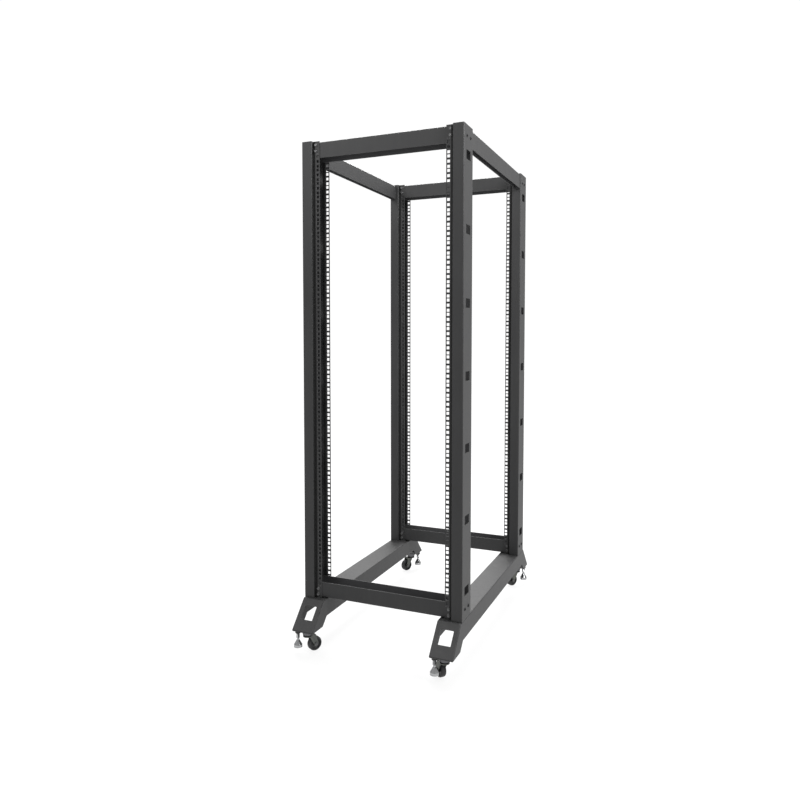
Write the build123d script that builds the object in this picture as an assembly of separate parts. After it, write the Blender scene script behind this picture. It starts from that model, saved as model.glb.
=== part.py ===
from build123d import *
import os

# Four post open frame rack for 19 inch equipment, 33 units high, on two
# channel sleds with splayed feet, swivel castors and levelling feet.
# Millimetres. X to the right, front towards -Y, Z up, floor at Z = 0.

# Rack grid
unit = 44.45
unit_count = 33
hole_offsets = (6.35, 22.225, 38.1)
hole_side = 9.5
opening_width = 450.0
hole_inset = 7.55

# Posts, folded from sheet
overall_depth = 820.0
post_sheet = 2.0
post_bend = 1.0
post_depth = 90.0
rail_setback = 11.0
rail_width = 24.5
face_width = 37.0
rail_margin = 44.45
cutout_count = 7
cutout_height = 29.0
cutout_width = 42.0
cutout_end = 91.0

# Crossbars, and the side beams between the tops of the posts
bar_sheet = 2.0
bar_bend = 1.5
bar_height = 52.0
bar_inset = 3.0
side_beam_height = 56.0
side_beam_width = 22.0
side_beam_drop = 4.0
side_beam_inset = 3.0

# Base sleds with their feet
sled_sheet = 2.5
sled_width = 80.0
sled_height = 60.0
sled_edge = 3.5
toe_overhang = 8.0
foot_reach = 91.0
foot_drop = 90.0
toe_fold = 6.0
tip_fold = 4.0
heel_reach = 18.0
heel_setback = 12.0
heel_radius = 7.0
window_margin = 18.0
window_top = 19.0
window_bottom = 34.0
window_radius = 2.0

# Castors
wheel_radius = 24.0
wheel_width = 18.0
tyre_depth = 5.0
tyre_shoulder = 3.0
core_setback = 2.0
dish_depth = 2.5
dish_width = 7.0
trail = 26.0
castor_inset = 49.0
axle_radius = 4.0
axle_head_radius = 6.5
axle_head = 2.0
fork_sheet = 2.5
fork_crown = 3.0
fork_radius = 16.0
fork_lug_radius = 8.0
hub_radius = 8.0
crown_gap = 6.0
head_radius = 20.0
head_height = 20.7
head_collar = 3.0
head_waist = 18.5
head_shoulder = 17.0
head_nose = 12.0
head_curve = 5.0
kingpin_radius = 5.0
kingpin_head_radius = 8.0
kingpin_head = 3.0
stem_radius = 5.0
stem_above = 12.0
castor_turns = {"front_left": 30.0, "front_right": -50.0, "rear_left": 210.0, "rear_right": 215.0}

# Levelling feet
stud_radius = 6.0
pad_radius = 14.5
pad_height = 30.0
pad_rim = 9.0
pad_neck = 4.5
pad_lift = 20.0
leveller_side_inset = 12.5
leveller_reach = 66.0
stud_above = 12.0
nut_wall = 3.5
nut_height = 10.0

# Clearances
running_gap = 0.05
seat_gap = 0.3
stem_gap = 0.2
side_gap = 1.5
thrust_gap = 0.3

# Heights and places worked out from the sizes above
crown_bottom = 2 * wheel_radius + crown_gap
crown_top = crown_bottom + fork_crown
head_bottom = crown_top + thrust_gap
foot_floor = head_bottom + head_height
post_bottom = foot_floor + foot_drop
post_height = unit_count * unit + 2 * rail_margin
post_top = post_bottom + post_height
rail_inner = opening_width / 2
face_inner = rail_inner + rail_width
half_width = face_inner + face_width
half_depth = overall_depth / 2
bar_depth = post_depth - 2 * (rail_setback + post_sheet)
fork_half = wheel_width / 2 + side_gap + fork_sheet


def mitred(points, thickness):
    """Points moved to the left of their path by the sheet's thickness, and which bends turn left."""
    moved = []
    left_turns = []
    for i, corner in enumerate(points):
        normals = []
        for a, b in ((i - 1, i), (i, i + 1)):
            if a >= 0 and b < len(points):
                run = (points[b] - points[a]).normalized()
                normals.append(Vector(-run.Y, run.X))
        both = normals[0] + normals[-1]
        moved.append(corner + both * (2 * thickness / both.dot(both)))
        if len(normals) == 2:
            left_turns.append(normals[0].cross(normals[1]).Z > 0)
    return moved, left_turns


def sheet_face(points, thickness, bend):
    """Face of a bent sheet: the points run along its outside, the sheet lies to their left."""
    outer = [Vector(*p) for p in points]
    inner, left_turns = mitred(outer, thickness)
    near = FilletPolyline(*outer, radius=[bend + thickness if t else bend for t in left_turns])
    far = FilletPolyline(*inner, radius=[bend if t else bend + thickness for t in left_turns])
    return make_face([near, far, Line(near @ 0, far @ 0), Line(near @ 1, far @ 1)])


def turned_to_foot(shape, side, end):
    """Moves a shape modelled for the front right corner to another corner by mirroring."""
    if side < 0:
        shape = mirror(shape, about=Plane.YZ)
    if end > 0:
        shape = mirror(shape, about=Plane.XZ)
    return shape


def upright(radius, low, high):
    """Upright cylinder between two heights."""
    return Pos(0, 0, low) * Cylinder(radius, high - low, align=(Align.CENTER, Align.CENTER, Align.MIN))


def revolved(points):
    """Solid of revolution about Z from radius and height pairs."""
    return revolve(make_face(Polyline(*[(r, 0, z) for r, z in points], close=True)), Axis.Z)


def post():
    """Front right post: stepped channel, open towards the middle of the rack."""
    front = -half_depth
    rear = front + post_depth
    outline = [
        (rail_inner, front + rail_setback),
        (face_inner, front + rail_setback),
        (face_inner, front),
        (half_width, front),
        (half_width, rear),
        (face_inner, rear),
        (face_inner, rear - rail_setback),
        (rail_inner, rear - rail_setback),
    ]
    section = sheet_face(outline, post_sheet, post_bend)
    body = Pos(0, 0, post_bottom) * extrude(section, post_height)
    middle = front + post_depth / 2
    holes = [
        Pos(rail_inner + hole_inset, middle, post_bottom + rail_margin + u * unit + offset)
        * Box(hole_side, post_depth, hole_side)
        for u in range(unit_count)
        for offset in hole_offsets
    ]
    step = (post_height - 2 * cutout_end) / (cutout_count - 1)
    cutouts = [
        Pos(half_width, middle, post_bottom + cutout_end + i * step)
        * Box(4 * post_sheet, cutout_width, cutout_height)
        for i in range(cutout_count)
    ]
    return body - holes - cutouts


def crossbar(bottom):
    """Front bar between two posts: inverted channel that runs inside them, with end wings."""
    front = -half_depth + rail_setback + post_sheet
    reach = half_width - post_sheet
    section = sheet_face(
        [(front + bar_depth, 0), (front + bar_depth, bar_height), (front, bar_height), (front, 0)],
        bar_sheet,
        bar_bend,
    )
    bar = Pos(-reach, 0, bottom) * extrude(Plane.YZ * section, 2 * reach)
    wing = Box(bar_sheet, bar_depth - 2 * bar_sheet, bar_height - bar_sheet)
    height = bottom + (bar_height - bar_sheet) / 2
    for side in (-1, 1):
        bar += Pos(side * (reach - bar_sheet / 2), front + bar_depth / 2, height) * wing
    return bar


def side_beam():
    """Right top beam between front and rear post: inverted channel with closed ends."""
    reach = half_depth - post_depth
    outer = half_width - side_beam_inset
    top = post_top - side_beam_drop
    section = sheet_face(
        [
            (outer, top - side_beam_height),
            (outer, top),
            (outer - side_beam_width, top),
            (outer - side_beam_width, top - side_beam_height),
        ],
        bar_sheet,
        bar_bend,
    )
    beam = extrude(Plane.XZ * section, reach, both=True)
    plate = Box(side_beam_width - 2 * bar_sheet, bar_sheet, side_beam_height - bar_sheet)
    height = top - bar_sheet - (side_beam_height - bar_sheet) / 2
    for end in (-1, 1):
        beam += Pos(outer - side_beam_width / 2, end * (reach - bar_sheet / 2), height) * plate
    return beam


def sled():
    """Right base sled: folded channel with a splayed, windowed foot at both ends."""
    toe = half_depth + toe_overhang
    tip = half_depth + foot_reach
    heel = half_depth + heel_reach
    heel_top = half_depth - heel_setback
    edge = post_bottom - sled_height
    front_half = [(heel, foot_floor), (tip, foot_floor), (toe, post_bottom)]
    path = front_half + [(-y, z) for y, z in reversed(front_half)]
    outline = make_face(Polyline(*path, (-heel_top, edge), (heel_top, edge), close=True))
    outline = fillet(outline.vertices().group_by(Axis.Y)[-1], toe_fold)
    low = outline.vertices().group_by(Axis.Y)[0].sort_by(lambda v: abs(v.X))
    outline = fillet(low[2:], tip_fold)
    block = extrude(Plane.YZ * outline, sled_width)
    rims = [
        e
        for e in block.edges()
        if abs(e.tangent_at(0.5).X) < 0.5
        and (e.center().Z > edge + sled_edge or abs(e.center().Y) > heel + heel_radius)
    ]
    block = fillet(rims, sled_edge)
    heels = fillet(outline.vertices().group_by(Axis.Y)[0].sort_by(lambda v: abs(v.X))[:2], heel_radius)
    block &= extrude(Plane.YZ * heels, sled_width)
    inner, _ = mitred([Vector(*p) for p in path], sled_sheet)
    floor_end = heel + heel_radius
    inner[0] = Vector(floor_end, foot_floor + sled_sheet)
    inner[-1] = Vector(-floor_end, foot_floor + sled_sheet)
    folds = [tip_fold, toe_fold, toe_fold, tip_fold]
    bends = FilletPolyline(*inner, radius=[fold - sled_sheet for fold in folds])
    below = foot_floor - sled_sheet
    back = Polyline(bends @ 1, (-floor_end, below), (floor_end, below), bends @ 0)
    cavity = extrude(Plane.YZ * make_face([bends, back]), sled_width - 2 * sled_sheet)
    body = Pos(half_width - sled_width, 0, 0) * (block - Pos(sled_sheet, 0, 0) * cavity)
    low_side = foot_floor + window_bottom
    high_side = post_bottom - window_top
    window = Box(sled_width - 2 * window_margin, foot_reach - toe_overhang, high_side - low_side)
    window = fillet(window.edges().filter_by(Axis.Y), window_radius)
    for end in (-1, 1):
        place = Pos(half_width - sled_width / 2, end * (toe + tip) / 2, (high_side + low_side) / 2)
        body -= place * window
        castor = Pos(half_width - sled_width / 2, end * (half_depth + castor_inset), foot_floor)
        body -= castor * Cylinder(stem_radius + stem_gap, 4 * sled_sheet)
    return body


def foot_places():
    """Corner name, side and end of the four feet."""
    return [
        ("front_left", -1, -1),
        ("front_right", 1, -1),
        ("rear_left", -1, 1),
        ("rear_right", 1, 1),
    ]


def castor_place(name, side, end):
    """Where a castor's swivel axis meets the floor, turned to its rest heading."""
    x = side * (half_width - sled_width / 2)
    y = end * (half_depth + castor_inset)
    return Pos(x, y, 0) * Rot(0, 0, -castor_turns[name])


def castor_head():
    """Fixed head: domed bearing cup under a flat collar, stem above it and kingpin below."""
    low = crown_bottom - thrust_gap - kingpin_head
    collar = foot_floor - head_collar
    return revolved(
        [
            (0, low),
            (kingpin_head_radius, low),
            (kingpin_head_radius, low + kingpin_head),
            (kingpin_radius, low + kingpin_head),
            (kingpin_radius, head_bottom),
            (head_nose, head_bottom),
            (head_shoulder, head_bottom + head_curve),
            (head_waist, collar),
            (head_radius, collar),
            (head_radius, foot_floor),
            (stem_radius, foot_floor),
            (stem_radius, foot_floor + stem_above),
            (0, foot_floor + stem_above),
        ]
    )


def fork():
    """Swivelling fork: crown round the kingpin and two legs that trail back to the axle."""
    crown = extrude(Circle(fork_radius), fork_crown)
    crown += Pos(0, trail / 2, fork_crown / 2) * Box(2 * fork_half, trail, fork_crown)
    crown -= Cylinder(kingpin_radius + running_gap, 4 * fork_crown)
    body = Pos(0, 0, crown_bottom) * crown
    leg = make_face(
        Polyline(
            (0, crown_top),
            (trail, crown_top),
            (trail + fork_lug_radius, wheel_radius),
            (trail - fork_lug_radius, wheel_radius),
            close=True,
        )
    )
    leg += Pos(trail, wheel_radius) * Circle(fork_lug_radius)
    leg -= Pos(trail, wheel_radius) * Circle(axle_radius + running_gap)
    for x in (-fork_half, fork_half - fork_sheet):
        body += Pos(x, 0, 0) * extrude(Plane.YZ * leg, fork_sheet)
    return body


def axle():
    """Axle rivet through both fork legs."""
    body = Cylinder(axle_radius, 2 * fork_half)
    for side in (-1, 1):
        head = Pos(0, 0, side * (fork_half + axle_head / 2)) * Cylinder(axle_head_radius, axle_head)
        body += head
    return Pos(0, trail, wheel_radius) * Rot(0, 90, 0) * body


def tyre():
    """Tread ring of the wheel, its shoulders drawn in by two tapers."""
    half = wheel_width / 2
    bore = wheel_radius - tyre_depth
    profile = [
        (bore, half),
        (wheel_radius - tyre_shoulder, half),
        (wheel_radius - tyre_shoulder / 4, half - tyre_shoulder / 3),
        (wheel_radius, half - tyre_shoulder),
    ]
    ring = revolved(profile + [(r, -z) for r, z in reversed(profile)])
    return Pos(0, trail, wheel_radius) * Rot(0, 90, 0) * ring


def wheel_core():
    """Wheel centre, dished between its rim and a hub that nearly fills the fork."""
    rim = wheel_radius - tyre_depth
    half = wheel_width / 2 - core_setback
    hub = wheel_width / 2 + side_gap - seat_gap
    profile = [
        (axle_radius + running_gap, hub),
        (hub_radius, hub),
        (hub_radius, half - dish_depth),
        (hub_radius + dish_width, half - dish_depth),
        (rim - (rim - hub_radius - dish_width) / 2, half),
        (rim, half),
    ]
    core = revolved(profile + [(r, -z) for r, z in reversed(profile)])
    return Pos(0, trail, wheel_radius) * Rot(0, 90, 0) * core


def leveller_place(side, end):
    """Levelling foot axis: near the left side of a front foot, the right side of a rear foot."""
    x = side * (half_width - sled_width / 2) + end * (sled_width / 2 - leveller_side_inset)
    y = end * (half_depth + leveller_reach)
    return x, y


def leveller_pad():
    """Conical pad on the floor side of the stud, drawn in to a neck thinner than the stud."""
    top = pad_lift + pad_height
    return revolved(
        [
            (0, pad_lift),
            (pad_radius, pad_lift),
            (pad_radius, pad_lift + pad_rim),
            (pad_neck, top - pad_neck),
            (pad_neck, top),
            (0, top),
        ]
    )


def build_parts():
    """All nodes by name."""
    parts = {}
    right_post = post()
    right_sled = sled()
    right_beam = side_beam()
    for name, side, end in foot_places():
        parts["post_" + name] = turned_to_foot(right_post, side, end)
    low_bar = mirror(crossbar(-post_bottom - bar_inset - bar_height), about=Plane.XY)
    high_bar = crossbar(post_top - bar_inset - bar_height)
    for end, word in ((-1, "front"), (1, "rear")):
        parts["bottom_bar_" + word] = turned_to_foot(low_bar, 1, end)
        parts["top_bar_" + word] = turned_to_foot(high_bar, 1, end)
    nut_radius = stud_radius + nut_wall
    for side, word in ((-1, "left"), (1, "right")):
        parts["top_beam_" + word] = turned_to_foot(right_beam, side, -1)
        sled_body = turned_to_foot(right_sled, side, -1)
        for end in (-1, 1):
            x, y = leveller_place(side, end)
            sled_body += Pos(x, y, foot_floor - nut_height / 2) * Cylinder(nut_radius, nut_height)
            sled_body -= Pos(x, y, foot_floor) * Cylinder(stud_radius + stem_gap, 4 * nut_height)
        parts["sled_" + word] = sled_body
    for name, side, end in foot_places():
        place = castor_place(name, side, end)
        parts["castor_head_" + name] = place * castor_head()
        parts["castor_fork_" + name] = place * fork()
        parts["castor_axle_" + name] = place * axle()
        parts["wheel_core_" + name] = place * wheel_core()
        parts["wheel_tyre_" + name] = place * tyre()
        x, y = leveller_place(side, end)
        parts["leveller_pad_" + name] = Pos(x, y, 0) * leveller_pad()
        stud = upright(stud_radius, pad_lift + pad_height, foot_floor + sled_sheet + stud_above)
        parts["leveller_stud_" + name] = Pos(x, y, 0) * stud
    return parts


os.makedirs("parts", exist_ok=True)
for node, solid in build_parts().items():
    export_step(solid, "parts/" + node + ".step")
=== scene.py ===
import math

import bpy
import numpy as np
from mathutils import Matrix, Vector


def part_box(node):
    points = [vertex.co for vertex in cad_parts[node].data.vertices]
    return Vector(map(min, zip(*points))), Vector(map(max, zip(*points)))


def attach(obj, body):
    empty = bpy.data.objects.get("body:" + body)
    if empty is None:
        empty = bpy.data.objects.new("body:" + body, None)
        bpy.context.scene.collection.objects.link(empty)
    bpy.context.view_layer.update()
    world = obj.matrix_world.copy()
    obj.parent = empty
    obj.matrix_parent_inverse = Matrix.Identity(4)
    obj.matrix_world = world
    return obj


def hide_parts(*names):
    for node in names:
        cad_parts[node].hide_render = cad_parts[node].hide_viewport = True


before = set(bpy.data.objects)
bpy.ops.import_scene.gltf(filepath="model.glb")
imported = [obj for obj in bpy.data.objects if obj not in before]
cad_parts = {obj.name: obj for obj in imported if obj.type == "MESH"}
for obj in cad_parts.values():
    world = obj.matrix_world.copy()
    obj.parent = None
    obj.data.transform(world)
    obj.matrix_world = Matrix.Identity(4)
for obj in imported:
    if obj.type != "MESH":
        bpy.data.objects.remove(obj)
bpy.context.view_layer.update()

# Sizes of the rack that its fasteners and finishes follow, in metres
UNIT = 0.04445
HOLE_OFFSETS = (0.00635, 0.022225, 0.0381)
HOLE_HALF = 0.00475
HOLE_COLUMN = 0.23255
FIRST_UNIT = 0.04445
RAIL_SETBACK = 0.011
STEM_ABOVE = 0.012
SLED_SHEET = 0.0025
FACE_INNER = 0.2495
CORNER_SHADE_REACH = 0.0095
BAR_INSET = 0.003
BAR_DEPTH = 0.064
# How far under a coated face the inner skin begins
SKIN = 0.0015
CORNERS = ("front_left", "front_right", "rear_left", "rear_right")

post_low, post_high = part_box("post_front_right")
HALF_WIDTH = post_high.x
HALF_DEPTH = -post_low.y
POST_DEPTH = post_high.y - post_low.y
POST_BOTTOM = post_low.z
POST_TOP = post_high.z
beam_low, beam_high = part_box("top_beam_right")
BEAM_MIDDLE = (beam_low.x + beam_high.x) / 2
BEAM_WIDTH = beam_high.x - beam_low.x
BEAM_TOP = beam_high.z


def side_of(corner):
    """-1 for the left posts, 1 for the right ones."""
    return -1 if corner.endswith("left") else 1


def end_of(corner):
    """-1 for the front posts, 1 for the rear ones."""
    return -1 if corner.startswith("front") else 1


class Wire:
    """One output of a node; sums on it add Math nodes to the same node tree."""

    def __init__(self, tree, output):
        self.tree = tree
        self.output = output

    def reckon(self, operation, *values):
        """Adds one Math node and gives its result."""
        node = self.tree.nodes.new("ShaderNodeMath")
        node.operation = operation
        for socket, value in zip(node.inputs, values):
            plug(self.tree, socket, value)
        return Wire(self.tree, node.outputs[0])

    def __add__(self, other):
        return self.reckon("ADD", self, other)

    __radd__ = __add__

    def __sub__(self, other):
        return self.reckon("SUBTRACT", self, other)

    def __rsub__(self, other):
        return self.reckon("SUBTRACT", other, self)

    def __mul__(self, other):
        return self.reckon("MULTIPLY", self, other)

    __rmul__ = __mul__

    def __mod__(self, other):
        return self.reckon("FLOORED_MODULO", self, other)

    def __abs__(self):
        return self.reckon("ABSOLUTE", self)

    def least(self, other):
        return self.reckon("MINIMUM", self, other)

    def most(self, other):
        return self.reckon("MAXIMUM", self, other)

    def sine(self):
        return self.reckon("SINE", self)


def plug(tree, socket, value):
    """Links a wire to a socket, or sets the socket's own value."""
    if isinstance(value, Wire):
        tree.links.new(value.output, socket)
    else:
        socket.default_value = value


def socket_of(sockets, key):
    """The socket with this place, identifier or name."""
    if isinstance(key, int):
        return sockets[key]
    for socket in sockets:
        if socket.identifier == key:
            return socket
    return sockets[key]


def add_node(tree, kind, settings=(), sockets=(), output=0):
    """Adds a node of this type: its settings first, then the values or links of its sockets.
    Gives one output as a wire, or a list of wires for a tuple of outputs."""
    node = tree.nodes.new(kind)
    for key, value in dict(settings).items():
        setattr(node, key, value)
    for key, value in dict(sockets).items():
        plug(tree, socket_of(node.inputs, key), value)
    if isinstance(output, tuple):
        return [Wire(tree, socket_of(node.outputs, key)) for key in output]
    return Wire(tree, socket_of(node.outputs, output))


def smooth_band(tree, value, low, high):
    """Rises smoothly from 0 at low to 1 at high."""
    return add_node(
        tree,
        "ShaderNodeMapRange",
        {"interpolation_type": "SMOOTHSTEP"},
        {"Value": value, "From Min": low, "From Max": high},
    )


class Finish:
    """A node material around one shader, with the patterns that feed it."""

    # Half the width over which a mask's edge fades
    HALF_FADE = 0.00025

    def __init__(self, name, **constants):
        self.material = bpy.data.materials.new(name)
        self.material.use_nodes = True
        self.tree = self.material.node_tree
        self.tree.nodes.clear()
        self.shader = self.tree.nodes.new("ShaderNodeBsdfPrincipled")
        output = self.tree.nodes.new("ShaderNodeOutputMaterial")
        self.tree.links.new(self.shader.outputs["BSDF"], output.inputs["Surface"])
        for key, value in constants.items():
            self.shader.inputs[key.replace("_", " ")].default_value = value
        self.place = self.node("ShaderNodeTexCoord", output="Object")

    def node(self, kind, settings=(), sockets=(), output=0):
        """Adds a node to the material."""
        return add_node(self.tree, kind, settings, sockets, output)

    def axes(self):
        """The X, Y and Z of the surface point as three wires."""
        return self.node("ShaderNodeSeparateXYZ", {}, {"Vector": self.place}, ("X", "Y", "Z"))

    def facing_up(self):
        """1 on surfaces that face straight up, 0 on walls and undersides."""
        normal = self.node("ShaderNodeNewGeometry", output="Normal")
        return self.node("ShaderNodeSeparateXYZ", {}, {"Vector": normal}, "Z").most(0.0)

    def stretched(self, scale):
        """The surface point with each axis multiplied by its own scale."""
        return self.node(
            "ShaderNodeMapping", {"vector_type": "POINT"}, {"Vector": self.place, "Scale": scale}
        )

    def noise(self, scale, detail=2.0, roughness=0.5, at=None):
        """Cloudy pattern between 0 and 1, this many cells to the metre."""
        return self.node(
            "ShaderNodeTexNoise",
            {"noise_dimensions": "3D"},
            {
                "Vector": at or self.place,
                "Scale": scale,
                "Detail": detail,
                "Roughness": roughness,
            },
        )

    def cells(self, scale):
        """Distance to the nearest of randomly strewn points, this many to the metre."""
        return self.node(
            "ShaderNodeTexVoronoi", {}, {"Vector": self.place, "Scale": scale}, "Distance"
        )

    def band(self, value, low, high):
        """Rises smoothly from 0 at low to 1 at high."""
        return smooth_band(self.tree, value, low, high)

    def below(self, value, limit):
        """1 under the limit and 0 over it, with half a millimetre between."""
        return self.band(value, limit + self.HALF_FADE, limit - self.HALF_FADE)

    def blend(self, mask, colour_a, colour_b):
        """Colour a where the mask is 0, colour b where it is 1."""
        return self.node(
            "ShaderNodeMix",
            {"data_type": "RGBA"},
            {"Factor_Float": mask, "A_Color": rgba(colour_a), "B_Color": rgba(colour_b)},
            "Result_Color",
        )

    def relief(self, height):
        """Feeds a height in metres to the shader's normal."""
        bump = self.node(
            "ShaderNodeBump", {}, {"Height": height, "Distance": 1.0, "Strength": 1.0}, "Normal"
        )
        self.feed("Normal", bump)

    def feed(self, key, value):
        """Feeds one of the shader's sockets."""
        plug(self.tree, self.shader.inputs[key], value)


def rgba(colour):
    """A colour with its alpha, or the wire as it is."""
    return colour if isinstance(colour, Wire) else (*colour, 1.0)


# The three masks below all take the coat and the surface point, so that a coat can use any one.
def hollow_of_post(coat, x, y, z):
    """1 on the inner skin of a post: behind its rails and in the pockets behind its outer faces."""
    off_middle = abs(abs(y) - (HALF_DEPTH - POST_DEPTH / 2))
    behind_rails = coat.below(off_middle, POST_DEPTH / 2 - RAIL_SETBACK - SKIN)
    outside_faces = 1.0 - coat.below(abs(x), FACE_INNER + SKIN)
    behind_faces = coat.below(off_middle, POST_DEPTH / 2 - SKIN) * outside_faces
    return behind_rails.most(behind_faces) * coat.below(abs(x), HALF_WIDTH - SKIN)


def hollow_of_bar(coat, x, y, z):
    """1 on the inner skin of a crossbar."""
    off_middle = abs(abs(y) - (HALF_DEPTH - POST_DEPTH / 2))
    off_centre = abs(z - (POST_BOTTOM + POST_TOP) / 2)
    web = (POST_TOP - POST_BOTTOM) / 2 - BAR_INSET
    return coat.below(off_middle, BAR_DEPTH / 2 - SKIN) * coat.below(off_centre, web - SKIN)


def hollow_of_beam(coat, x, y, z):
    """1 on the inner skin of a side beam."""
    off_middle = abs(abs(x) - BEAM_MIDDLE)
    return coat.below(off_middle, BEAM_WIDTH / 2 - SKIN) * coat.below(z, BEAM_TOP - SKIN)


# Colours of the powder coat, with its painted light on the inner skin and painted shade in the rail
# corners, and how far its dust, wear and painted corner shade cover it
COAT_BASE = (0.0225, 0.0225, 0.023)
COAT_PALE = (0.029, 0.029, 0.0295)
COAT_DUST = (0.12, 0.118, 0.114)
# Painted light: a lighter grey for the inner skin of the hollows, standing in for light that
# reaches inside
COAT_INNER_PAINTED_LIGHT = (0.062, 0.062, 0.064)
COAT_WORN = (0.15, 0.15, 0.155)
# Painted shade: near-black colour for the corners beside the rails
COAT_CORNER_SHADE = (0.004, 0.004, 0.004)
DUST_SHARE = 0.12
WORN_SHARE = 0.3
CORNER_SHADE_SHARE = 0.85


def coat_finish(name, hollow=None, post=False):
    """Satin powder coat on steel: fine orange peel, faint cloudiness and a film of dust on level
    surfaces. On the inner skin the colour is painted lighter in patches: painted light standing in
    for light that reaches into the hollows. On a post the coating is also rubbed thin round the
    square holes, and the corners beside its rails are painted dark: painted shade of the recess."""
    coat = Finish(name, Metallic=0.0, IOR=1.36)
    cloud = coat.noise(5.0, 3.0)
    speck = coat.noise(1400.0, 1.0)
    streak = coat.noise(1.0, 3.0, at=coat.stretched((60.0, 60.0, 4.0)))
    shade = cloud * 0.45 + streak * 0.3 + speck * 0.25
    colour = coat.blend(coat.band(shade, 0.3, 0.7), COAT_BASE, COAT_PALE)
    dust = coat.facing_up() * coat.band(coat.noise(38.0, 4.0, 0.6), 0.35, 0.75)
    colour = coat.blend(dust * DUST_SHARE, colour, COAT_DUST)
    gloss = 0.44 + cloud * 0.06 + speck * 0.05 + dust * 0.12
    peel = coat.noise(520.0, 2.0, 0.45) * 0.000035 + coat.noise(190.0, 1.0) * 0.00003
    x, y, z = coat.axes()
    if hollow:
        # Painted light: the inner skin is lightened in patches where the hollows would otherwise
        # lie in shade
        painted_inner_light = hollow(coat, x, y, z) * coat.band(coat.noise(30.0, 3.0), 0.1, 0.4)
        colour = coat.blend(painted_inner_light, colour, COAT_INNER_PAINTED_LIGHT)
    if post:
        along = (z - POST_BOTTOM - FIRST_UNIT) % UNIT
        row = abs(along - HOLE_OFFSETS[0])
        for offset in HOLE_OFFSETS[1:]:
            row = row.least(abs(along - offset))
        off_centre = abs(z - (POST_BOTTOM + POST_TOP) / 2)
        margin = off_centre - ((POST_TOP - POST_BOTTOM) / 2 - FIRST_UNIT)
        rim = abs(abs(x) - HOLE_COLUMN).most(row).most(margin) - HOLE_HALF
        patches = coat.band(coat.noise(210.0, 3.0), 0.42, 0.62)
        ring = (1.0 - coat.band(rim, 0.0001, 0.0011)) * patches
        colour = coat.blend(ring * WORN_SHARE, colour, COAT_WORN)
        gloss = gloss - ring * 0.1
        peel = peel - ring * 0.00003
        # Painted shade: the rail plane and step wall are darkened within a few millimetres of the
        # inner corner, where the recess shades them
        off_x = abs(x) - FACE_INNER
        off_outer = abs(y) - (HALF_DEPTH - RAIL_SETBACK)
        off_inner = abs(y) - (HALF_DEPTH - POST_DEPTH + RAIL_SETBACK)
        off_line = off_x * off_x + (off_outer * off_outer).least(off_inner * off_inner)
        corner = coat.band(off_line, CORNER_SHADE_REACH**2, (0.75 * CORNER_SHADE_REACH) ** 2)
        colour = coat.blend(corner * CORNER_SHADE_SHARE, colour, COAT_CORNER_SHADE)
        gloss = gloss + corner * 0.3
    coat.feed("Base Color", colour)
    coat.feed("Roughness", gloss)
    coat.relief(peel)
    return coat.material


# Grain lines to the metre along X, Y and Z
ROLLED_GRAIN = (900.0, 900.0, 30.0)


def plated_finish(name, base, tint, gloss, metal=0.9):
    """Plated steel: cloudy grey metal with a second tint, rolled grain and small handling marks."""
    plate = Finish(name)
    cloud = plate.noise(70.0, 4.0, 0.6)
    grain_lines = plate.noise(1.0, 2.0, at=plate.stretched(ROLLED_GRAIN))
    spangle = plate.cells(260.0)
    colour = plate.blend(plate.band(cloud, 0.35, 0.65), base, tint)
    marks = plate.band(plate.noise(320.0, 3.0), 0.62, 0.8)
    colour = plate.blend(marks * 0.35, colour, tuple(c * 0.55 for c in base))
    plate.feed("Base Color", colour)
    plate.feed("Metallic", metal - cloud * 0.12)
    plate.feed("Roughness", gloss + grain_lines * 0.1 + spangle * 0.06 + cloud * 0.04)
    plate.relief(grain_lines * 0.000012 + plate.noise(420.0, 2.0) * 0.00001)
    return plate.material


LATHE_PITCH = 0.0006


def chrome_finish(name):
    """Turned and plated levelling foot: bright metal with fine lathe rings and a few dull spots."""
    chrome = Finish(name, Metallic=1.0)
    _, _, z = chrome.axes()
    rings = (z * (math.tau / LATHE_PITCH)).sine()
    dull = chrome.band(chrome.noise(160.0, 4.0, 0.6), 0.5, 0.75)
    chrome.feed("Base Color", chrome.blend(dull, (0.40, 0.405, 0.41), (0.25, 0.255, 0.26)))
    chrome.feed("Roughness", 0.13 + dull * 0.14 + chrome.noise(700.0) * 0.05)
    chrome.relief(rings * 0.0000035 + chrome.noise(120.0, 2.0) * 0.00003)
    return chrome.material


def plastic_finish(name, base, pale, gloss, texture):
    """Moulded plastic or rubber: fine mould texture, slight mottling and grey dust caught in it."""
    plastic = Finish(name, IOR=1.47)
    mottle = plastic.noise(90.0, 3.0)
    grain = plastic.noise(1600.0, 2.0)
    dust = plastic.band(plastic.noise(240.0, 4.0, 0.65), 0.52, 0.8)
    colour = plastic.blend(plastic.band(mottle, 0.3, 0.7), base, pale)
    plastic.feed("Base Color", plastic.blend(dust * 0.25, colour, (0.11, 0.108, 0.104)))
    plastic.feed("Roughness", gloss + grain * 0.08 + dust * 0.12)
    plastic.relief(grain * texture + mottle * texture)
    return plastic.material


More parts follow.
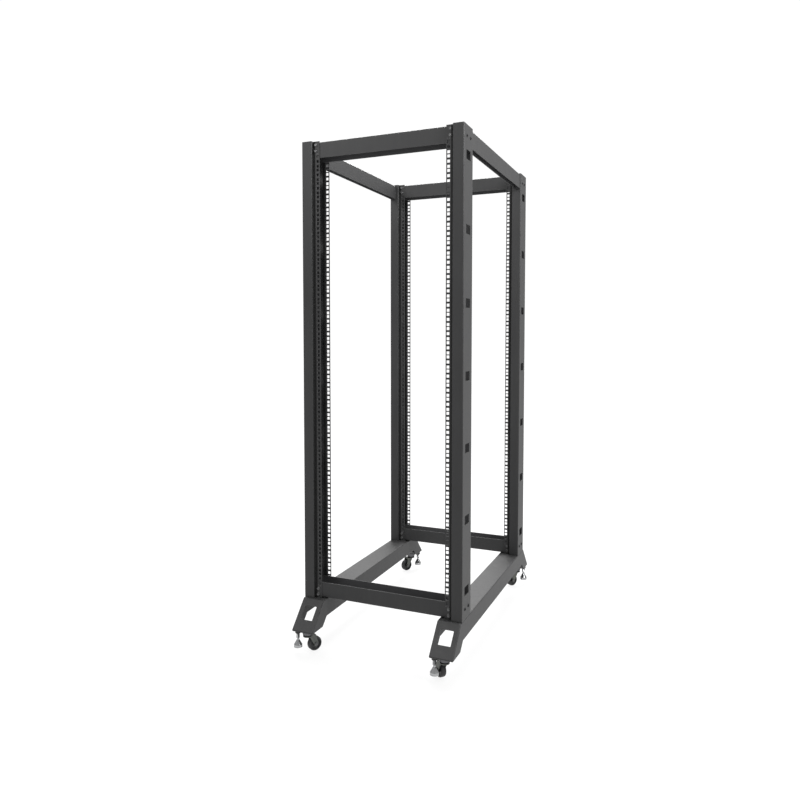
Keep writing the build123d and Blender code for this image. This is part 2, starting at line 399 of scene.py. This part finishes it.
def rings_to_mesh(name, rings):
    """Closed skin over rings of points, one ring per step along an axis: neighbours on a ring and
    between rings join to quads, and the first and last ring are closed by one face each.
    The rings are an array of pieces by rings by points by three."""
    pieces, steps, sides, _ = rings.shape
    verts = rings.reshape(-1, 3)
    step, side = np.meshgrid(np.arange(steps - 1), np.arange(sides), indexing="ij")
    nxt = (side + 1) % sides
    here, above = step * sides, (step + 1) * sides
    quads = np.stack([here + side, here + nxt, above + nxt, above + side], axis=-1).reshape(-1, 4)
    starts = np.arange(pieces) * steps * sides
    quads = (quads[None] + starts[:, None, None]).reshape(-1, 4)
    first = np.arange(sides)[::-1][None] + starts[:, None]
    last = (steps - 1) * sides + np.arange(sides)[None] + starts[:, None]
    mesh = bpy.data.meshes.new(name)
    mesh.from_pydata(verts.tolist(), [], quads.tolist() + first.tolist() + last.tolist())
    mesh.update()
    piece = bpy.data.objects.new(name, mesh)
    bpy.context.scene.collection.objects.link(piece)
    return piece


def frames_for(axes):
    """For each axis direction, two more directions square to it that make a right-handed set."""
    axes = np.array(axes, float)
    helper = np.where(np.abs(axes[:, 2:3]) > 0.9, [[1.0, 0.0, 0.0]], [[0.0, 0.0, 1.0]])
    across = np.cross(helper, axes)
    across /= np.linalg.norm(across, axis=1, keepdims=True)
    return across, np.cross(axes, across), axes


def turned_pieces(name, profile, centres, axes, sides, flats=0, twist=0.0):
    """Turned shapes: at height h along its axis each piece has the ring radius r(h) times
    (cos a, sin a). Profile rows are (radius, height, share of the flats). Where the share is 1 the
    radius at angle a is r divided by the cosine of the angle from the middle of the nearest of the
    flats, as on a hexagon."""
    profile = np.array(profile, float)
    angle = np.arange(sides) / sides * math.tau
    radius = np.repeat(profile[:, 0:1], sides, axis=1)
    if flats:
        wedge = math.tau / flats
        off_middle = (angle + wedge / 2) % wedge - wedge / 2
        radius = radius * (1 + profile[:, 2:3] * (1 / np.cos(off_middle) - 1))
    u, v, w = frames_for(axes)
    turn = angle + twist
    flat = radius[..., None] * np.stack([np.cos(turn), np.sin(turn)], axis=-1)[None]
    rings = (
        np.array(centres, float)[:, None, None]
        + flat[None, ..., 0:1] * u[:, None, None]
        + flat[None, ..., 1:2] * v[:, None, None]
        + profile[:, 1][None, :, None, None] * w[:, None, None]
    )
    return rings_to_mesh(name, rings)


def threaded_stud(name, centre, radius, low, high, pitch, depth, sides=18, steps_to_pitch=4):
    """Screw thread: at height z and angle a the radius is the outer one less the depth times a
    triangle wave of z / pitch - a / turn, so the ridge climbs one pitch each turn; both ends
    taper."""
    steps = int((high - low) / pitch * steps_to_pitch) + 1
    z = np.linspace(low, high, steps)
    angle = np.arange(sides) / sides * math.tau
    phase = (z[:, None] / pitch - angle[None] / math.tau) % 1.0
    wave = 1.0 - np.abs(2.0 * phase - 1.0)
    taper = np.clip(np.minimum(z - low, high - z) / pitch, 0.0, 1.0)[:, None]
    r = radius - depth * np.maximum(wave, 1.0 - taper)
    rings = np.stack(
        [
            centre[0] + r * np.cos(angle)[None],
            centre[1] + r * np.sin(angle)[None],
            np.repeat(z[:, None], sides, axis=1),
        ],
        axis=-1,
    )
    return rings_to_mesh(name, rings[None])


SHARP_ANGLE = math.radians(35)


def dress(piece, body, material):
    """Gives a piece its finish and lets it ride on a body of the rack."""
    piece.data.materials.append(material)
    piece.data.shade_smooth()
    piece.data.set_sharp_from_angle(angle=SHARP_ANGLE)
    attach(piece, body)


def refinish(node, material):
    """Puts a finish on a solid of the rack."""
    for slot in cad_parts[node].material_slots:
        slot.material = material


# Finishes
post_coat = coat_finish("post powder coat", hollow_of_post, post=True)
bar_coat = coat_finish("crossbar powder coat", hollow_of_bar)
beam_coat = coat_finish("side beam powder coat", hollow_of_beam)
sled_coat = coat_finish("sled powder coat")
dark_plate = plated_finish(
    "castor head, dark plate", (0.10, 0.10, 0.105), (0.15, 0.15, 0.155), gloss=0.32, metal=0.75
)
fork_plate = plated_finish(
    "castor fork, zinc plate", (0.085, 0.089, 0.085), (0.125, 0.13, 0.115), gloss=0.34
)
rivet_plate = plated_finish(
    "axle rivet, zinc plate", (0.07, 0.07, 0.072), (0.11, 0.11, 0.11), gloss=0.34
)
bolt_plate = plated_finish(
    "bolts, dark zinc", (0.085, 0.085, 0.088), (0.13, 0.13, 0.13), gloss=0.36
)
nut_plate = plated_finish("nuts, zinc plate", (0.30, 0.305, 0.31), (0.38, 0.38, 0.37), gloss=0.3)
dark_bolt = plated_finish(
    "web screws, black oxide", (0.006, 0.006, 0.007), (0.012, 0.012, 0.013), gloss=0.5, metal=0.6
)
foot_chrome = chrome_finish("levelling foot, bright plate")
wheel_plastic = plastic_finish(
    "wheel centre, moulded plastic",
    (0.010, 0.010, 0.011),
    (0.016, 0.016, 0.017),
    gloss=0.42,
    texture=0.00001,
)
tread_rubber = plastic_finish(
    "tread, rubber", (0.014, 0.014, 0.015), (0.022, 0.022, 0.022), gloss=0.6, texture=0.00002
)

for corner in CORNERS:
    refinish("post_" + corner, post_coat)
    refinish("castor_head_" + corner, dark_plate)
    refinish("castor_fork_" + corner, fork_plate)
    refinish("castor_axle_" + corner, rivet_plate)
    refinish("wheel_core_" + corner, wheel_plastic)
    refinish("wheel_tyre_" + corner, tread_rubber)
    refinish("leveller_pad_" + corner, foot_chrome)
    refinish("leveller_stud_" + corner, foot_chrome)
for word in ("front", "rear"):
    refinish("bottom_bar_" + word, bar_coat)
    refinish("top_bar_" + word, bar_coat)
for word in ("left", "right"):
    refinish("top_beam_" + word, beam_coat)
    refinish("sled_" + word, sled_coat)

# Rows of the profiles below are (radius, height above the seat, share of the flats).

# Flanged hexagon bolts that hold the crossbars to the rails of the posts
BOLT_X = 0.238
BOLT_FROM_END = (0.012, 0.032)
FLANGE_BOLT = [
    (0.0058, 0.0, 0),
    (0.0060, 0.0007, 0),
    (0.0050, 0.0015, 0),
    (0.0042, 0.0016, 1),
    (0.0042, 0.0040, 1),
    (0.0041, 0.0046, 0),
    (0.0024, 0.0043, 0),
]
for corner in CORNERS:
    side, end = side_of(corner), end_of(corner)
    outer_rail = end * (HALF_DEPTH - RAIL_SETBACK)
    inner_rail = end * (HALF_DEPTH - POST_DEPTH + RAIL_SETBACK)
    heights = [POST_BOTTOM + gap for gap in BOLT_FROM_END]
    heights += [POST_TOP - gap for gap in BOLT_FROM_END]
    centres = [(side * BOLT_X, y, z) for y in (outer_rail, inner_rail) for z in heights]
    axes = [(0, end, 0)] * len(heights) + [(0, -end, 0)] * len(heights)
    bolts = turned_pieces(
        "rail_bolts_" + corner, FLANGE_BOLT, centres, axes, sides=12, flats=6, twist=0.3
    )
    dress(bolts, "frame", bolt_plate)

# Low round socket screws in the outer web of each post, level with the crossbars
SCREW_FROM_FACE = (0.030, 0.065)
SCREW_FROM_END = 0.034
WEB_SCREW = [
    (0.0058, 0.0, 0),
    (0.0058, 0.0004, 0),
    (0.0052, 0.0013, 0),
    (0.0040, 0.0019, 0),
    (0.0033, 0.0019, 0),
    (0.0031, 0.0003, 0),
]
for corner in CORNERS:
    side, end = side_of(corner), end_of(corner)
    centres = [
        (side * HALF_WIDTH, end * (HALF_DEPTH - from_face), z)
        for from_face in SCREW_FROM_FACE
        for z in (POST_BOTTOM + SCREW_FROM_END, POST_TOP - SCREW_FROM_END)
    ]
    axes = [(side, 0, 0)] * len(centres)
    screws = turned_pieces("web_screws_" + corner, WEB_SCREW, centres, axes, sides=16)
    dress(screws, "frame", dark_bolt)


def fitted_nut(name, profile, around, corner, twist):
    """Hexagon nut about the upright middle of a solid, seated on the sheet over the castor head."""
    low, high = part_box(around)
    middle = (low + high) / 2
    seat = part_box("castor_head_" + corner)[1].z - STEM_ABOVE + SLED_SHEET
    centre = (middle.x, middle.y, seat)
    nut = turned_pieces(name, profile, [centre], [(0, 0, 1)], sides=24, flats=6, twist=twist)
    dress(nut, "frame", nut_plate)


# Nut and washer on each castor's stem, inside the foot
STEM_NUT = [
    (0.0100, 0.0, 0),
    (0.0100, 0.0015, 0),
    (0.0080, 0.0016, 0),
    (0.0078, 0.0018, 1),
    (0.0078, 0.0075, 1),
    (0.0074, 0.0080, 0),
    (0.0053, 0.0080, 0),
    (0.0051, 0.0074, 0),
]
for corner in CORNERS:
    fitted_nut("stem_nut_" + corner, STEM_NUT, "castor_head_" + corner, corner, twist=0.4)

# Lock nut and rolled thread of each levelling foot
LOCK_NUT = [
    (0.0098, 0.0, 0),
    (0.0095, 0.0004, 1),
    (0.0095, 0.0056, 1),
    (0.0091, 0.0060, 0),
    (0.0066, 0.0060, 0),
    (0.0063, 0.0053, 0),
]
THREAD_PITCH = 0.0015
THREAD_DEPTH = 0.0007
for corner in CORNERS:
    fitted_nut("lock_nut_" + corner, LOCK_NUT, "leveller_stud_" + corner, corner, twist=0.1)
    low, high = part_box("leveller_stud_" + corner)
    middle = (low + high) / 2
    stud = threaded_stud(
        "stud_thread_" + corner,
        (middle.x, middle.y),
        (high.x - low.x) / 2,
        low.z,
        high.z,
        THREAD_PITCH,
        THREAD_DEPTH,
    )
    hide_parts("leveller_stud_" + corner)
    dress(stud, "leveller_" + corner, foot_chrome)

# Floor
FLOOR_REACH = 30.0
FLOOR_CORNERS = ((-1, -1), (1, -1), (1, 1), (-1, 1))
floor_finish = Finish("floor, lit white acrylic", Roughness=0.7, Emission_Strength=0.87)
floor_finish.shader.inputs["Emission Color"].default_value = (1.0, 1.0, 1.0, 1.0)
floor_cloud = floor_finish.noise(3.0, 3.0)
floor_finish.feed(
    "Base Color", floor_finish.blend(floor_cloud, (0.05, 0.05, 0.05), (0.06, 0.06, 0.06))
)
floor_mesh = bpy.data.meshes.new("floor")
floor_mesh.from_pydata(
    [(x * FLOOR_REACH, y * FLOOR_REACH, 0.0) for x, y in FLOOR_CORNERS], [], [(0, 1, 2, 3)]
)
floor = bpy.data.objects.new("floor", floor_mesh)
floor.data.materials.append(floor_finish.material)
bpy.context.scene.collection.objects.link(floor)


def soft_light(name, place, aim, size, power):
    """Large square lamp at a place, turned to face the aim."""
    lamp = bpy.data.lights.new(name, "AREA")
    lamp.shape = "SQUARE"
    lamp.size = size
    lamp.energy = power
    holder = bpy.data.objects.new(name, lamp)
    holder.location = place
    aim_line = np.array(aim, float) - np.array(place, float)
    holder.rotation_euler = Vector(aim_line).to_track_quat("-Z", "Y").to_euler()
    bpy.context.scene.collection.objects.link(holder)


soft_light("behind, overhead", (-0.5, 1.9, 3.6), (0.0, 0.0, 0.3), size=2.0, power=260.0)
soft_light("left front, high", (-1.5, -2.5, 2.9), (0.0, -0.3, 1.9), size=1.2, power=36.0)
soft_light("right side", (2.0, -0.6, 2.7), (0.2, -0.4, 2.1), size=1.2, power=110.0)

# The rack is lit by a white backdrop behind it, a brighter ceiling over that and a greyer room
# round the rest. What is seen behind the rack is plain white from every side.
ROOM = 0.55
BACKDROP = 1.03
CEILING = 1.8
world = bpy.data.worlds.new("studio")
world.use_nodes = True
sky = world.node_tree
direction = add_node(sky, "ShaderNodeTexCoord", output="Generated")
sky_x, sky_y, sky_z = add_node(
    sky, "ShaderNodeSeparateXYZ", {}, {"Vector": direction}, ("X", "Y", "Z")
)
behind = smooth_band(sky, sky_y, -0.1, 0.4)
backdrop = behind * (1.0 - smooth_band(sky, sky_x, 0.1, 0.32))
ceiling = behind * smooth_band(sky, sky_z, 0.45, 0.7)
seen = add_node(sky, "ShaderNodeLightPath", output="Is Camera Ray")
lit = backdrop * (BACKDROP - ROOM) + ceiling * CEILING + ROOM
plug(sky, sky.nodes["Background"].inputs["Strength"], lit * (1.0 - seen) + seen * BACKDROP)
sky.nodes["Background"].inputs["Color"].default_value = (1.0, 1.0, 1.0, 1.0)
bpy.context.scene.world = world
bpy.context.scene.view_settings.view_transform = "Standard"

# Camera at the photograph's angle, measured in the photograph's pixels
PICTURE_SIDE = 800.0
FOCAL_LENGTH = 693.4
LEVEL_ROW = 370.0
SENSOR_WIDTH = 36.0
TILT_DOWN = 2.76
TURN = 23.36
lens = bpy.data.cameras.new("camera")
lens.sensor_width = SENSOR_WIDTH
lens.lens = FOCAL_LENGTH * SENSOR_WIDTH / PICTURE_SIDE
lens.shift_y = (LEVEL_ROW - PICTURE_SIDE / 2) / PICTURE_SIDE
lens.clip_end = 100.0
camera = bpy.data.objects.new("camera", lens)
camera.location = (0.9570, -2.4548, 1.0700)
camera.rotation_euler = (math.radians(90.0 - TILT_DOWN), 0.0, math.radians(TURN))
bpy.context.scene.collection.objects.link(camera)
bpy.context.scene.camera = camera
